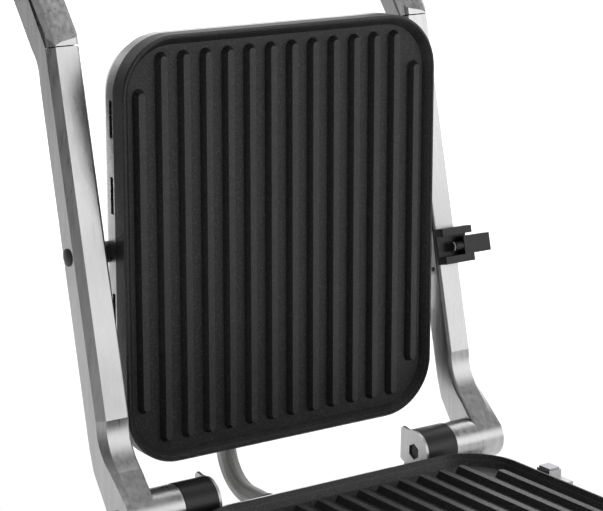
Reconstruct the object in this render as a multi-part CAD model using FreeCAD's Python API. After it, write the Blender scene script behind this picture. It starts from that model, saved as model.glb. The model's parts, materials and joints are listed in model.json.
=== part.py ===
import FreeCAD, Part
import math
import os
from FreeCAD import Vector

os.makedirs("parts", exist_ok=True)

# Contact grill (panini press) with its lid standing open. Millimetres.
# X runs along the hinge, Y towards the back, Z up. The table is Z = 0 and the origin is
# the underside of the foot in the middle of the base.

# ------------------------------------------------------------------ grill plates
PLATE_WIDTH = 256.0
RIB_LENGTH = 262.6
RIB_COUNT = 14
RIB_SIDES = 31.1  # the outer ribs' centre lines from the plate's edges, both sides together
RIB_PITCH = (PLATE_WIDTH - RIB_SIDES) / (RIB_COUNT - 1)
END_RIB_SHORTER = 23.0  # the two outermost ribs stop this much short at each end
RIB_CREST = 4.8  # width of the flat crest
RIB_DRAFT = 2.5  # run of each flank
RIB_HEIGHT = 4.6
LOWER_RIM = 3.4  # rim above the rib crests, lower plate
UPPER_RIM = 1.4
RIM_LIP = 1.2  # bevel round the rim's crest
RIM_WIDTH = 2.4
RIM_SLOPE = 4.8  # run of the rim's inner slope
PLATE_CORNER = 40.0
PLATE_SKIRT = 12.8  # depth of the plate's side wall
LOWER_MARGIN = 17.3  # rib end to outer edge, lower plate
UPPER_MARGIN = 15.0
UPPER_RIM_DROP = 1.2  # the upper rim sits this much nearer the hinge than its ribs
PLATE_FLOOR = 4.8

# ------------------------------------------------------------------ layout
CREST_Z = 81.6  # lower rib crests above the table
RIBS_BACK_Y = 127.0  # back ends of the lower ribs
HINGE_BEHIND_RIBS = 42.0
HINGE_ABOVE_CREST = 0.0
PIVOT_BEHIND_HINGE = 60.0  # lid open
PIVOT_ABOVE_HINGE = RIB_LENGTH / 2 + 33.1
PIVOT_DEPTH = 23.8  # pivot axis behind the upper plate's rib crests
CLOSED_GAP = 2.0  # between the two rims when shut

# ------------------------------------------------------------------ arms
ARM_LEAN = 13.15  # degrees from vertical, lid open
ARM_BEND = 25.0  # further lean of the part above the bend
ARM_INNER_X = PLATE_WIDTH / 2 + 6.5
ARM_OUTER_X = ARM_INNER_X + 22.5
ARM_FRONT = 7.0  # flat front face behind the hinge axis
ARM_DEPTH = 20.5
CHAMFER_DEPTH = 6.5
CHAMFER_RUN = 4.4
ARM_BEND_AT = RIB_LENGTH + 40.4  # along the arm from the hinge axis
ARM_TIP = 92.0  # from the bend to the handle's axis
ARM_EDGE = 2.6  # rounding of the inner front edge
ARM_BOSS_R = 15.6
PAD_START = ARM_BEND_AT + 8.0  # along the arm, where the handle's pads begin
UPPER_BACK = 9.7  # back face above the bend, from the centre line
CORE_FRONT = -9.0  # face that the pads lie on
HANDLE_C = -2.0
ARM_TIP_R = 12.5
PAD_SEAM = 0.8
HANDLE_BAR_R = 8.0
GRIP_R = 14.0

# ------------------------------------------------------------------ height clip
CLIP_AT = 141.5  # along the arm from the hinge axis
CLIP_TALL = 26.0
CLIP_DEEP = 10.5
CLIP_IN_X = ARM_INNER_X - 0.3
CLIP_OUT_X = ARM_OUTER_X + 3.6
CLIP_FLANGE = 5.4
CLIP_BACK = 2.4
TAB_TALL = 13.2
TAB_BELOW = 1.0  # the tab's middle below the carriage's
TAB_OUT_X = ARM_OUTER_X + 19.4
TAB_IN_X = ARM_OUTER_X - 4.4
TAB_PRESS = 3.0
CLIP_TRAVEL = 22.0
CLIP_SLIDE_GAP = 0.3
NOTCH_BELOW = 2.8  # detent notch in the arm, below the carriage
NOTCH_HALF = 1.6

# ------------------------------------------------------------------ controls
KNOB_R = 17.0
KNOB_DEEP = 15.0
KNOB_GAP = 1.0
SHAFT_R = 3.0
KNOB_X = PLATE_WIDTH / 2 - 36.0
BUTTON_R = 8.5
BUTTON_PRESS = 2.0
LAMP_R = 3.5
LAMP_X = 26.0
PANEL_Z = CREST_Z - 38.6

# ------------------------------------------------------------------ conduit
CONDUIT_R = 7.2
CONDUIT_X = -21.0
CONDUIT_Z = CREST_Z - 26.1
CONDUIT_BACK_Y = RIBS_BACK_Y + HINGE_BEHIND_RIBS + 82.0
CONDUIT_BEND = 32.0
CONDUIT_TOP_Z = CREST_Z + 24.4
GLAND_WALL = 1.0
HOOD_DROP = 6.0
HOOD_RISE = 34.0

# ------------------------------------------------------------------ hinge and pivots
COLLAR_R = 15.8
COLLAR_OUTER_X = ARM_INNER_X - 20.6
COLLAR_INNER_X = COLLAR_OUTER_X - 25.5
HINGE_GAP = 0.5
CAP_THICK = 2.2
HINGE_PIN_R = 7.0
HINGE_BUSH_R = 9.6
RUN_FIT = 0.06  # radial running clearance
SEAT_FIT = 0.02
HEX_AF = 10.6
PIVOT_PIN_R = 4.0
PIVOT_BOSS_R = 7.2
PIVOT_CAP_R = 6.0

# ------------------------------------------------------------------ housings
WALL = 1.6
SHELL_HALF_X = ARM_INNER_X + 15.5
SHELL_CORNER = 24.0
BASE_FRONT_Y = RIBS_BACK_Y - RIB_LENGTH - 50.4
BASE_BACK_Y = RIBS_BACK_Y + HINGE_BEHIND_RIBS + 21.0
DECK_Z = CREST_Z - 10.2  # the shell's top round the lower plate
REAR_DECK_Z = CREST_Z - 21.1  # lower corners under the arms
BACK_SLOPE_Y = RIBS_BACK_Y + 29.0  # the deck falls from here to the back
BACK_TOP_Z = DECK_Z - 6.2
REAR_CORNER_X = COLLAR_INNER_X - 6.4
REAR_CORNER_Y = RIBS_BACK_Y + 19.0
PAN_Z = 6.0
FOOT_R = 11.0
FASCIA_LEAN = 14.0
COVER_SIDE = 9.4
COVER_DOME = 26.0
VENT_LENGTH = 25.0
VENT_WIDTH = 3.6
VENT_BACK = 3.4  # middle of a vent behind the plate's skirt
VENT_STEP = 51.0
VENT_FIRST = 39.6

# ------------------------------------------------------------------ derived places
HINGE_Y = RIBS_BACK_Y + HINGE_BEHIND_RIBS
HINGE_Z = CREST_Z + HINGE_ABOVE_CREST
PIVOT_Y = HINGE_Y + PIVOT_BEHIND_HINGE
PIVOT_Z = HINGE_Z + PIVOT_ABOVE_HINGE
HEAD_Y = PIVOT_Y - PIVOT_DEPTH  # upper rib crests
LOWER_MID_Y = RIBS_BACK_Y - RIB_LENGTH / 2
LOWER_LENGTH = RIB_LENGTH + 2 * LOWER_MARGIN
UPPER_LENGTH = RIB_LENGTH + 2 * UPPER_MARGIN
HALF_PLATE = PLATE_WIDTH / 2
LOWER_BASE = LOWER_RIM - PLATE_SKIRT  # underside of the skirt, from the rib crests
UPPER_BASE = UPPER_RIM - PLATE_SKIRT
LOWER_SKIRT_Z = CREST_Z + LOWER_BASE

nodes = {}


def keep(name, *shapes):
    """Register one node: a solid, or separate solids as a compound."""
    solids = [s for shape in shapes for s in shape.Solids]
    nodes[name] = solids[0] if len(solids) == 1 else Part.makeCompound(solids)


def box(x0, x1, y0, y1, z0, z1):
    return Part.makeBox(x1 - x0, y1 - y0, z1 - z0, Vector(x0, y0, z0))


def rod_x(x0, x1, y, z, r):
    return Part.makeCylinder(r, x1 - x0, Vector(x0, y, z), Vector(1, 0, 0))


def rod_y(y0, y1, x, z, r):
    return Part.makeCylinder(r, y1 - y0, Vector(x, y0, z), Vector(0, 1, 0))


def rod_z(z0, z1, x, y, r):
    return Part.makeCylinder(r, z1 - z0, Vector(x, y, z0), Vector(0, 0, 1))


def mirrored(shape):
    return shape.mirror(Vector(0, 0, 0), Vector(1, 0, 0))


def fused(first, *rest):
    return first.fuse(list(rest)).removeSplitter()


def rounded_wire(x0, x1, y0, y1, r, z):
    """Closed rounded rectangle at height z, always eight edges."""
    edges = []
    corners = ((x1, y0, -90), (x1, y1, 0), (x0, y1, 90), (x0, y0, 180))
    ends = []
    for cx, cy, start in corners:
        mx = cx - r if cx == x1 else cx + r
        my = cy - r if cy == y1 else cy + r
        pts = []
        for k in (0, 45, 90):
            a = math.radians(start + k)
            pts.append(Vector(mx + r * math.cos(a), my + r * math.sin(a), z))
        ends.append(pts)
    for i, pts in enumerate(ends):
        edges.append(Part.Arc(*pts).toShape())
        edges.append(Part.makeLine(pts[2], ends[(i + 1) % 4][0]))
    return Part.Wire(edges)


def rounded_block(x0, x1, y0, y1, z0, z1, r):
    face = Part.Face(rounded_wire(x0, x1, y0, y1, r, z0))
    return face.extrude(Vector(0, 0, z1 - z0))


def tapered(levels):
    """Straight-sided solid through rounded rectangles (x half, y0, y1, corner, z)."""
    wires = [rounded_wire(-h, h, y0, y1, r, z) for h, y0, y1, r, z in levels]
    return Part.makeLoft(wires, True, True)


def slot_wire(x, y0, y1, half, z):
    """Closed slot along Y: two straight sides and two half rounds."""
    a = Vector(x + half, y0 + half, z)
    b = Vector(x + half, y1 - half, z)
    c = Vector(x - half, y1 - half, z)
    d = Vector(x - half, y0 + half, z)
    top = Part.Arc(b, Vector(x, y1, z), c).toShape()
    bottom = Part.Arc(d, Vector(x, y0, z), a).toShape()
    return Part.Wire([Part.makeLine(a, b), top, Part.makeLine(c, d), bottom])


def profile_x(points, x0, x1):
    """Extrude a closed (y, z) outline from x0 to x1."""
    loop = [Vector(x0, y, z) for y, z in points]
    loop.append(loop[0])
    return Part.Face(Part.makePolygon(loop)).extrude(Vector(x1 - x0, 0, 0))


def stand_up(shape):
    """From the flat plate frame (crests up, +Y away from the hinge) to the open lid."""
    turned = shape.copy()
    turned.rotate(Vector(0, 0, 0), Vector(1, 0, 0), 90)
    turned.translate(Vector(0, HEAD_Y, PIVOT_Z))
    return turned


# ------------------------------------------------------------------ grill plates


def grill_plate(y0, y1, rim):
    """Ribbed plate lying flat, rib crests at z = 0, rib field centred on y = 0."""
    h = HALF_PLATE
    r = PLATE_CORNER
    body = rounded_block(-h, h, y0, y1, rim - PLATE_SKIRT, rim - RIM_LIP, r)
    lip = tapered([
        (h, y0, y1, r, rim - RIM_LIP),
        (h - RIM_LIP, y0 + RIM_LIP, y1 - RIM_LIP, r - RIM_LIP, rim),
    ])
    deep = RIM_WIDTH + RIM_SLOPE
    well = tapered([
        (h - deep, y0 + deep, y1 - deep, r - deep, -RIB_HEIGHT),
        (h - RIM_WIDTH, y0 + RIM_WIDTH, y1 - RIM_WIDTH, r - RIM_WIDTH, rim),
        (h - RIM_WIDTH, y0 + RIM_WIDTH, y1 - RIM_WIDTH, r - RIM_WIDTH, rim + 5),
    ])
    plate = body.fuse(lip).cut(well)
    ribs = []
    for i in range(RIB_COUNT):
        x = (i - (RIB_COUNT - 1) / 2) * RIB_PITCH
        short = END_RIB_SHORTER if i in (0, RIB_COUNT - 1) else 0
        e = RIB_LENGTH / 2 - short
        crest = RIB_CREST / 2
        foot = crest + RIB_DRAFT
        low = slot_wire(x, -e - RIB_DRAFT, e + RIB_DRAFT, foot, -RIB_HEIGHT - 0.5)
        base = slot_wire(x, -e - RIB_DRAFT, e + RIB_DRAFT, foot, -RIB_HEIGHT)
        top = slot_wire(x, -e, e, crest, 0)
        ribs.append(Part.makeLoft([base, top], True, True))
        ribs.append(Part.Face(low).extrude(Vector(0, 0, 0.5)))
    return plate.fuse(ribs).removeSplitter()


def hollow_back(plate, y0, y1, rim):
    """Cast pocket under the floor, inside the skirt."""
    wall = 4.0
    pocket = rounded_block(-HALF_PLATE + wall, HALF_PLATE - wall, y0 + wall, y1 - wall,
                           rim - PLATE_SKIRT - 1, -RIB_HEIGHT - PLATE_FLOOR + 2.6, PLATE_CORNER - wall)
    return plate.cut(pocket)


lower_y0 = -LOWER_LENGTH / 2
upper_y0 = -UPPER_LENGTH / 2 - UPPER_RIM_DROP
upper_y1 = UPPER_LENGTH / 2 - UPPER_RIM_DROP
lower_plate = hollow_back(grill_plate(lower_y0, -lower_y0, LOWER_RIM), lower_y0, -lower_y0, LOWER_RIM)
lower_plate.translate(Vector(0, LOWER_MID_Y, CREST_Z))
keep("lower_plate", lower_plate)
upper_plate = hollow_back(grill_plate(upper_y0, upper_y1, UPPER_RIM), upper_y0, upper_y1, UPPER_RIM)
keep("upper_plate", stand_up(upper_plate))

PLATE_BACK_Y = LOWER_MID_Y + LOWER_LENGTH / 2
PLATE_FRONT_Y = LOWER_MID_Y - LOWER_LENGTH / 2

# ------------------------------------------------------------------ arms
LEAN = math.radians(ARM_LEAN)
BEND = math.radians(ARM_BEND)


def arm_point(s, b):
    """(y, z) of a point s along the arm from the hinge axis and b behind that axis."""
    y = HINGE_Y + s * math.sin(LEAN) + b * math.cos(LEAN)
    z = HINGE_Z + s * math.cos(LEAN) - b * math.sin(LEAN)
    return y, z


ARM_BACK = ARM_FRONT + ARM_DEPTH
FLANGE = ARM_FRONT + CHAMFER_DEPTH
BEND_ORIGIN = arm_point(ARM_BEND_AT, (ARM_FRONT + ARM_BACK) / 2)


def upper_point(t, c):
    """(y, z) above the bend: t along it, c behind its centre line."""
    lean = LEAN + BEND
    y = BEND_ORIGIN[0] + t * math.sin(lean) + c * math.cos(lean)
    z = BEND_ORIGIN[1] + t * math.cos(lean) - c * math.sin(lean)
    return y, z


def arm_point_b(t, c):
    """How far a point above the bend lies behind the hinge axis, across the lower arm."""
    return (ARM_FRONT + ARM_BACK) / 2 + t * math.sin(BEND) + c * math.cos(BEND)


HANDLE_Y, HANDLE_Z = upper_point(ARM_TIP, HANDLE_C)


def tip_arc(r):
    """Three points of the half round at the arm's tip, back to front."""
    return [upper_point(ARM_TIP + r * math.cos(math.radians(a)), HANDLE_C + r * math.sin(math.radians(a)))
            for a in (80, 0, -80)]


def chain_wire(x, segments):
    """Closed wire at one X: a segment of three (y, z) points is an arc, any other is lines."""
    edges = []
    first = None
    last = None
    for seg in segments:
        pts = [Vector(x, y, z) for y, z in seg]
        if last is not None and (pts[0] - last).Length > 1e-6:
            edges.append(Part.makeLine(last, pts[0]))
        if len(pts) == 3:
            edges.append(Part.Arc(*pts).toShape())
        else:
            edges += [Part.makeLine(p, q) for p, q in zip(pts, pts[1:])]
        first = first or pts[0]
        last = pts[-1]
    edges.append(Part.makeLine(last, first))
    return Part.Wire(edges)


def arm_wire(x, full):
    """Arm outline at one X: full depth, or with the outer front edge set back."""
    front = ARM_FRONT if full else FLANGE
    boss = [arm_point(ARM_BOSS_R * math.cos(math.radians(a)), ARM_BOSS_R * math.sin(math.radians(a)))
            for a in (-54, -117, 180, 126, 72)]
    back = [arm_point(30, ARM_BACK - 1.6), arm_point(46, ARM_BACK)]
    bend = [arm_point(ARM_BEND_AT - 12, ARM_BACK), arm_point(ARM_BEND_AT + 3, ARM_BACK + 1.2),
            upper_point(14, UPPER_BACK)]
    core = [upper_point(ARM_TIP - 22, CORE_FRONT), arm_point(PAD_START + 0.8, FLANGE),
            arm_point(PAD_START, front), arm_point(64, front)]
    foot = [arm_point(64, front), arm_point(46, front + (0.3 if full else -0.6)),
            arm_point(30, -0.6 if full else 3.0)]
    return chain_wire(x, [boss[:3], boss[2:], back, bend, [upper_point(ARM_TIP - 26, UPPER_BACK)],
                          tip_arc(ARM_TIP_R), core, foot])


def arm_solid():
    """The arm on +X; the other one is its mirror image."""
    flat_x = ARM_OUTER_X - CHAMFER_RUN
    inner = Part.Face(arm_wire(ARM_INNER_X, True)).extrude(Vector(flat_x - ARM_INNER_X, 0, 0))
    outer = Part.makeLoft([arm_wire(flat_x, True), arm_wire(ARM_OUTER_X, False)], True, True)
    arm = inner.fuse(outer)
    barrel = rod_x(COLLAR_OUTER_X + HINGE_GAP, ARM_INNER_X + 2, HINGE_Y, HINGE_Z, ARM_BOSS_R)
    side = [e for e in arm.Edges if e.BoundBox.XMax < ARM_INNER_X + 0.01]
    return arm.makeFillet(ARM_EDGE, side).fuse(barrel).removeSplitter()



def arm_hardware(arm):
    """Bores for the hinge bush, the pivot pin, the handle bar and the clip's notches."""
    cuts = [
        rod_x(COLLAR_OUTER_X, ARM_INNER_X, HINGE_Y, HINGE_Z, HINGE_BUSH_R + SEAT_FIT),
        rod_x(ARM_INNER_X - 1, ARM_OUTER_X - 6, HINGE_Y, HINGE_Z, HINGE_PIN_R + 0.4),
        rod_x(ARM_INNER_X - 1, ARM_OUTER_X + 1, PIVOT_Y, PIVOT_Z, PIVOT_PIN_R + SEAT_FIT),
        rod_x(ARM_OUTER_X - 3, ARM_OUTER_X + 1, PIVOT_Y, PIVOT_Z, PIVOT_CAP_R + SEAT_FIT),
        rod_x(ARM_OUTER_X - 3, ARM_OUTER_X + 1, HINGE_Y, HINGE_Z, PIVOT_CAP_R + SEAT_FIT),
        rod_x(ARM_INNER_X - 1, ARM_OUTER_X - 4, HANDLE_Y, HANDLE_Z, HANDLE_BAR_R + SEAT_FIT),
    ]
    return arm.cut(cuts)


def local_block(x0, x1, s0, s1, b0, b1):
    """Box in the arm's own directions: X, along the arm, behind the hinge axis."""
    corners = [arm_point(s0, b0), arm_point(s1, b0), arm_point(s1, b1), arm_point(s0, b1)]
    return profile_x(corners, x0, x1)


arm = arm_hardware(arm_solid())
notch_at = CLIP_AT - CLIP_TALL / 2 - NOTCH_BELOW
notch = local_block(ARM_INNER_X - 1, ARM_INNER_X + 2.4, notch_at - NOTCH_HALF, notch_at + NOTCH_HALF,
                    ARM_FRONT + 4.5, ARM_FRONT + 8.5)
keep("arm_right", arm.cut(notch))
keep("arm_left", mirrored(arm))


def handle_pad():
    """Pad that carries the handle: it leaves the arm's front in a V and lies on the arm above the bend."""
    def wire(x, proud, low):
        """Outline at one X: low is its front below the bend, proud how far it stands out above it."""
        face = CORE_FRONT - proud
        rise = (low - arm_point_b(0, face)) / math.sin(BEND)
        pts = [
            arm_point(PAD_START + 0.8, FLANGE),
            arm_point(PAD_START + 0.8, low),
            upper_point(rise, face),
            upper_point(ARM_TIP - 24, face),
            upper_point(ARM_TIP - 10, CORE_FRONT - 1.0 - proud * 0.5),
            upper_point(ARM_TIP - 22, CORE_FRONT),
        ]
        loop = [Vector(x, y, z) for y, z in pts]
        return Part.makePolygon(loop + [loop[0]])
    edge = ARM_OUTER_X - CHAMFER_RUN
    slope = CHAMFER_DEPTH / CHAMFER_RUN
    spans = [(ARM_INNER_X, 5.2, ARM_FRONT + 2.0), (ARM_INNER_X + 2.4, 6.0, ARM_FRONT),
             (edge - 4, 5.0, ARM_FRONT), (edge, 4.2, ARM_FRONT),
             (ARM_OUTER_X - 0.6, 2.0, ARM_FRONT + slope * (CHAMFER_RUN - 0.6))]
    pad = Part.makeLoft([wire(*span) for span in spans], True, True)
    outline = (arm_point(PAD_START - 2, FLANGE), arm_point(PAD_START - 2, FLANGE - PAD_SEAM),
               arm_point(PAD_START + 9, FLANGE - PAD_SEAM), upper_point(ARM_TIP, CORE_FRONT - PAD_SEAM),
               upper_point(ARM_TIP, CORE_FRONT))
    return pad.cut(profile_x(outline, ARM_OUTER_X - 3, ARM_OUTER_X + 1))


pad = handle_pad().cut(arm)
keep("handle_pad_right", pad)
keep("handle_pad_left", mirrored(pad))
bar = rod_x(-ARM_OUTER_X + 4.4, ARM_OUTER_X - 4.4, HANDLE_Y, HANDLE_Z, HANDLE_BAR_R)
keep("handle_bar", bar)
grip = rod_x(-ARM_INNER_X + 5.2, ARM_INNER_X - 5.2, HANDLE_Y, HANDLE_Z, GRIP_R)
grip = grip.makeFillet(3.0, [e for e in grip.Edges if e.Length > GRIP_R * 6 and e.BoundBox.XLength < 1])
keep("handle_grip", grip.cut(rod_x(-ARM_OUTER_X, ARM_OUTER_X, HANDLE_Y, HANDLE_Z, HANDLE_BAR_R)))
ferrule = rod_x(ARM_INNER_X - 5.2, ARM_INNER_X, HANDLE_Y, HANDLE_Z, HANDLE_BAR_R + 3.5)
ferrule = ferrule.cut(rod_x(0, ARM_OUTER_X, HANDLE_Y, HANDLE_Z, HANDLE_BAR_R))
keep("handle_ferrules", ferrule, mirrored(ferrule))


def arm_cap(y, z):
    """Domed plug that covers a screw in the arm's outer face."""
    seat = rod_x(ARM_OUTER_X - 3, ARM_OUTER_X + 0.5, y, z, PIVOT_CAP_R)
    ball_r = 16.0
    drop = math.sqrt(ball_r ** 2 - PIVOT_CAP_R ** 2)
    ball = Part.makeSphere(ball_r, Vector(ARM_OUTER_X + 0.5 - drop, y, z))
    dome = ball.common(rod_x(ARM_OUTER_X, ARM_OUTER_X + 4, y, z, PIVOT_CAP_R))
    return seat.fuse(dome).removeSplitter()


pivot_cap = arm_cap(PIVOT_Y, PIVOT_Z)
hinge_plug = arm_cap(HINGE_Y, HINGE_Z)
keep("pivot_caps", pivot_cap, mirrored(pivot_cap))
keep("hinge_plugs", hinge_plug, mirrored(hinge_plug))

# ------------------------------------------------------------------ hinge


def hexagon(x0, x1, y, z, across):
    r = across / math.sqrt(3)
    pts = [(y + r * math.cos(math.radians(a)), z + r * math.sin(math.radians(a))) for a in range(30, 390, 60)]
    return profile_x(pts, x0, x1)


BRACKET_FOOT_TOP = REAR_DECK_Z + 5.0
CAP_INNER_X = COLLAR_INNER_X - CAP_THICK


def hinge_bracket():
    """Collar round the pin, on a block that stands on the rear deck."""
    collar = rod_x(COLLAR_INNER_X, COLLAR_OUTER_X, HINGE_Y, HINGE_Z, COLLAR_R)
    block = box(COLLAR_INNER_X, COLLAR_OUTER_X, HINGE_Y - COLLAR_R + 2, HINGE_Y + COLLAR_R - 2,
                REAR_DECK_Z, HINGE_Z)
    ledge = profile_x([(REAR_CORNER_Y, REAR_DECK_Z), (HINGE_Y + COLLAR_R, REAR_DECK_Z),
                       (HINGE_Y + COLLAR_R, BRACKET_FOOT_TOP), (HINGE_Y - COLLAR_R, BRACKET_FOOT_TOP + 4),
                       (REAR_CORNER_Y, BRACKET_FOOT_TOP)], COLLAR_INNER_X, COLLAR_OUTER_X)
    wing = box(COLLAR_OUTER_X, HALF_PLATE - 2, REAR_CORNER_Y, HINGE_Y - COLLAR_R - HINGE_GAP,
               REAR_DECK_Z, BRACKET_FOOT_TOP)
    solid = fused(collar, block, ledge, wing)
    return solid.cut(rod_x(COLLAR_INNER_X - 3, COLLAR_OUTER_X + 1, HINGE_Y, HINGE_Z, HINGE_PIN_R + SEAT_FIT))


def hinge_cap():
    """End plate with a straight back edge that rises to a point, and a hexagon hole."""
    disc = rod_x(CAP_INNER_X, COLLAR_INNER_X, HINGE_Y, HINGE_Z, COLLAR_R - 0.3)
    tail = profile_x([
        (HINGE_Y + 3, HINGE_Z + COLLAR_R - 1.0), (HINGE_Y + 8.2, HINGE_Z + COLLAR_R - 1.2),
        (HINGE_Y + 13.2, HINGE_Z + COLLAR_R - 0.2), (HINGE_Y + 15.4, HINGE_Z + COLLAR_R - 2.4),
        (HINGE_Y + 15.8, HINGE_Z - 9), (HINGE_Y + 8, HINGE_Z - 12)],
        CAP_INNER_X, COLLAR_INNER_X)
    return fused(disc, tail).cut(hexagon(CAP_INNER_X - 1, COLLAR_INNER_X + 1, HINGE_Y, HINGE_Z, HEX_AF))


hinge_pin = rod_x(COLLAR_INNER_X, ARM_OUTER_X - 7, HINGE_Y, HINGE_Z, HINGE_PIN_R)
hinge_pin = hinge_pin.cut(hexagon(COLLAR_INNER_X - 1, COLLAR_INNER_X + 7, HINGE_Y, HINGE_Z, HEX_AF))
bush = rod_x(COLLAR_OUTER_X + HINGE_GAP, ARM_INNER_X - 0.5, HINGE_Y, HINGE_Z, HINGE_BUSH_R)
bush = bush.cut(rod_x(0, ARM_OUTER_X, HINGE_Y, HINGE_Z, HINGE_PIN_R + RUN_FIT))
bracket = hinge_bracket()
cap = hinge_cap()
for side, turn in (("right", lambda sh: sh), ("left", mirrored)):
    keep("hinge_bracket_" + side, turn(bracket))
    keep("hinge_cap_" + side, turn(cap))
    keep("hinge_pin_" + side, turn(hinge_pin))
    keep("hinge_bush_" + side, turn(bush))

# ------------------------------------------------------------------ base housing
lean = math.radians(FASCIA_LEAN)
FASCIA_LOW = PAN_Z + 14.0
FASCIA_TOP = DECK_Z - 3.0
PANEL_THICK = 3.0
PANEL_HALF = SHELL_HALF_X - 12.0
PANEL_NORMAL = Vector(0, -math.cos(lean), math.sin(lean))


def front_y(z, inside=0.0):
    """Y of the leaning front face at height z."""
    return BASE_FRONT_Y + PANEL_THICK + inside + (z - FASCIA_LOW) * math.tan(lean)


def base_outline(inset, z0):
    """Block of the base: leaning front, lower rear corners; inset gives the inside."""
    h = SHELL_HALF_X - inset
    corner = SHELL_CORNER - inset
    block = rounded_block(-h, h, BASE_FRONT_Y + inset, BASE_BACK_Y - inset, z0, DECK_Z - inset, corner)
    step = box(REAR_CORNER_X - inset, h + 60, REAR_CORNER_Y - inset, BASE_BACK_Y + 60,
               REAR_DECK_Z - inset, DECK_Z + 60)
    foot_y = front_y(FASCIA_LOW, inset)
    wedge = profile_x([(foot_y - 80, z0 - 9), (foot_y, z0 - 9), (foot_y, FASCIA_LOW),
                       (front_y(DECK_Z + 9, inset), DECK_Z + 9), (foot_y - 80, DECK_Z + 9)], -h - 60, h + 60)
    fall = (DECK_Z - BACK_TOP_Z) / (BASE_BACK_Y - BACK_SLOPE_Y)
    slope = profile_x([(BACK_SLOPE_Y, DECK_Z - inset), (BASE_BACK_Y + 60, DECK_Z - inset - fall * (
        BASE_BACK_Y + 60 - BACK_SLOPE_Y)), (BASE_BACK_Y + 60, DECK_Z + 60), (BACK_SLOPE_Y, DECK_Z + 60)], -h, h)
    return block.cut([step, mirrored(step), wedge, slope])


shell = base_outline(0, PAN_Z).cut(base_outline(WALL, PAN_Z - 5))
WELL_INSET = 14.0
well = rounded_block(-HALF_PLATE + WELL_INSET, HALF_PLATE - WELL_INSET, PLATE_FRONT_Y + WELL_INSET,
                     PLATE_BACK_Y - WELL_INSET, DECK_Z - 5, DECK_Z + 5, PLATE_CORNER - WELL_INSET)
shell = shell.cut(well)


def leaning_slab(half, z0, z1, out0, out1):
    """Slab parallel to the leaning front face, between two heights."""
    pts = []
    for z, out in ((z0, out1), (z0, out0), (z1, out0), (z1, out1)):
        base = Vector(0, front_y(z), z) + PANEL_NORMAL * out
        pts.append((base.y, base.z))
    return profile_x(pts, -half, half)


panel = leaning_slab(PANEL_HALF, FASCIA_LOW + 1, FASCIA_TOP, 0, PANEL_THICK)
panel = panel.makeFillet(8.0, [e for e in panel.Edges if e.BoundBox.XLength < 0.1
                               and abs(e.Length - PANEL_THICK) < 0.01])
panel_front = [e for e in panel.Edges
               if min((v.Point - Vector(0, front_y(v.Point.z), v.Point.z)).dot(PANEL_NORMAL)
                      for v in e.Vertexes) > PANEL_THICK * 0.9]
panel = panel.makeFillet(1.2, panel_front)
shell = shell.cut(leaning_slab(PANEL_HALF - 14, FASCIA_LOW + 9, FASCIA_TOP - 7, -WALL * 3, 1))


def panel_point(x, out):
    """Point on the control panel's middle line, out from its face."""
    return Vector(x, front_y(PANEL_Z), PANEL_Z) + PANEL_NORMAL * (PANEL_THICK + out)


def panel_rod(x, out0, out1, r):
    return Part.makeCylinder(r, out1 - out0, panel_point(x, out0), PANEL_NORMAL)


def control(name, x):
    """Knob on a shaft, and the control body behind the panel."""
    knob = panel_rod(x, KNOB_GAP, KNOB_GAP + KNOB_DEEP, KNOB_R)
    knob = knob.makeChamfer(1.6, [e for e in knob.Edges if e.CenterOfMass.y < panel_point(x, KNOB_DEEP).y + 0.5
                                  and e.Length > KNOB_R * 6])
    slit = panel_rod(x, KNOB_GAP + KNOB_DEEP - 1.2, KNOB_GAP + KNOB_DEEP + 1, 1.1)
    slit.translate(Vector(0, 0, 1) * (KNOB_R - 5) * math.cos(lean))
    shaft = panel_rod(x, -12, KNOB_GAP + KNOB_DEEP - 4, SHAFT_R)
    body = panel_rod(x, -20, -5, 12.0)
    keep(name + "_knob", knob.cut([slit, panel_rod(x, 0, KNOB_GAP + KNOB_DEEP - 4, SHAFT_R)]))
    keep(name + "_shaft", shaft)
    keep(name + "_body", body.cut(panel_rod(x, -12.5, 0, SHAFT_R + RUN_FIT)))
    return panel_rod(x, -6, 3, SHAFT_R + 0.5)


holes = [control("thermostat", KNOB_X), control("timer", -KNOB_X)]
button = panel_rod(0, -9, 2.6, BUTTON_R - 0.4)
button = button.fuse(panel_rod(0, -10.5, -4.6, BUTTON_R + 1.4)).removeSplitter()
keep("power_button", button)
keep("power_switch", panel_rod(0, -24, -14, 9.5))
holes.append(panel_rod(0, -6, 3, BUTTON_R))
lamps = [panel_rod(x, -6, 1.0, LAMP_R) for x in (-LAMP_X, LAMP_X)]
keep("indicator_lamps", *lamps)
holes += [panel_rod(x, -6, 3, LAMP_R + SEAT_FIT) for x in (-LAMP_X, LAMP_X)]
keep("control_panel", panel.cut(holes))
board_z = PANEL_Z - 16
keep("control_board", box(-60, 60, BASE_FRONT_Y + 34, BASE_FRONT_Y + 68, board_z, board_z + 1.6))

# Drip tray: slides out forwards under the control panel.
TRAY_HALF = SHELL_HALF_X - 55.0
TRAY_HIGH = 9.0
TRAY_TRAVEL = 150.0
TRAY_FRONT_Y = BASE_FRONT_Y + 1.0
TRAY_GAP = 0.8
tray_z0 = PAN_Z + 2.0
tray = box(-TRAY_HALF, TRAY_HALF, TRAY_FRONT_Y + 8, PLATE_BACK_Y - 60, tray_z0, tray_z0 + TRAY_HIGH)
tray = tray.cut(box(-TRAY_HALF + 2, TRAY_HALF - 2, TRAY_FRONT_Y + 12, PLATE_BACK_Y - 62,
                    tray_z0 + 2, tray_z0 + TRAY_HIGH + 1))
tray_front = box(-TRAY_HALF, TRAY_HALF, TRAY_FRONT_Y, TRAY_FRONT_Y + 8, tray_z0, tray_z0 + TRAY_HIGH)
grip_hole = box(-26, 26, TRAY_FRONT_Y - 1, TRAY_FRONT_Y + 5, tray_z0 - 1, tray_z0 + 5)
keep("drip_tray", fused(tray, tray_front.cut(grip_hole)))
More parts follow.
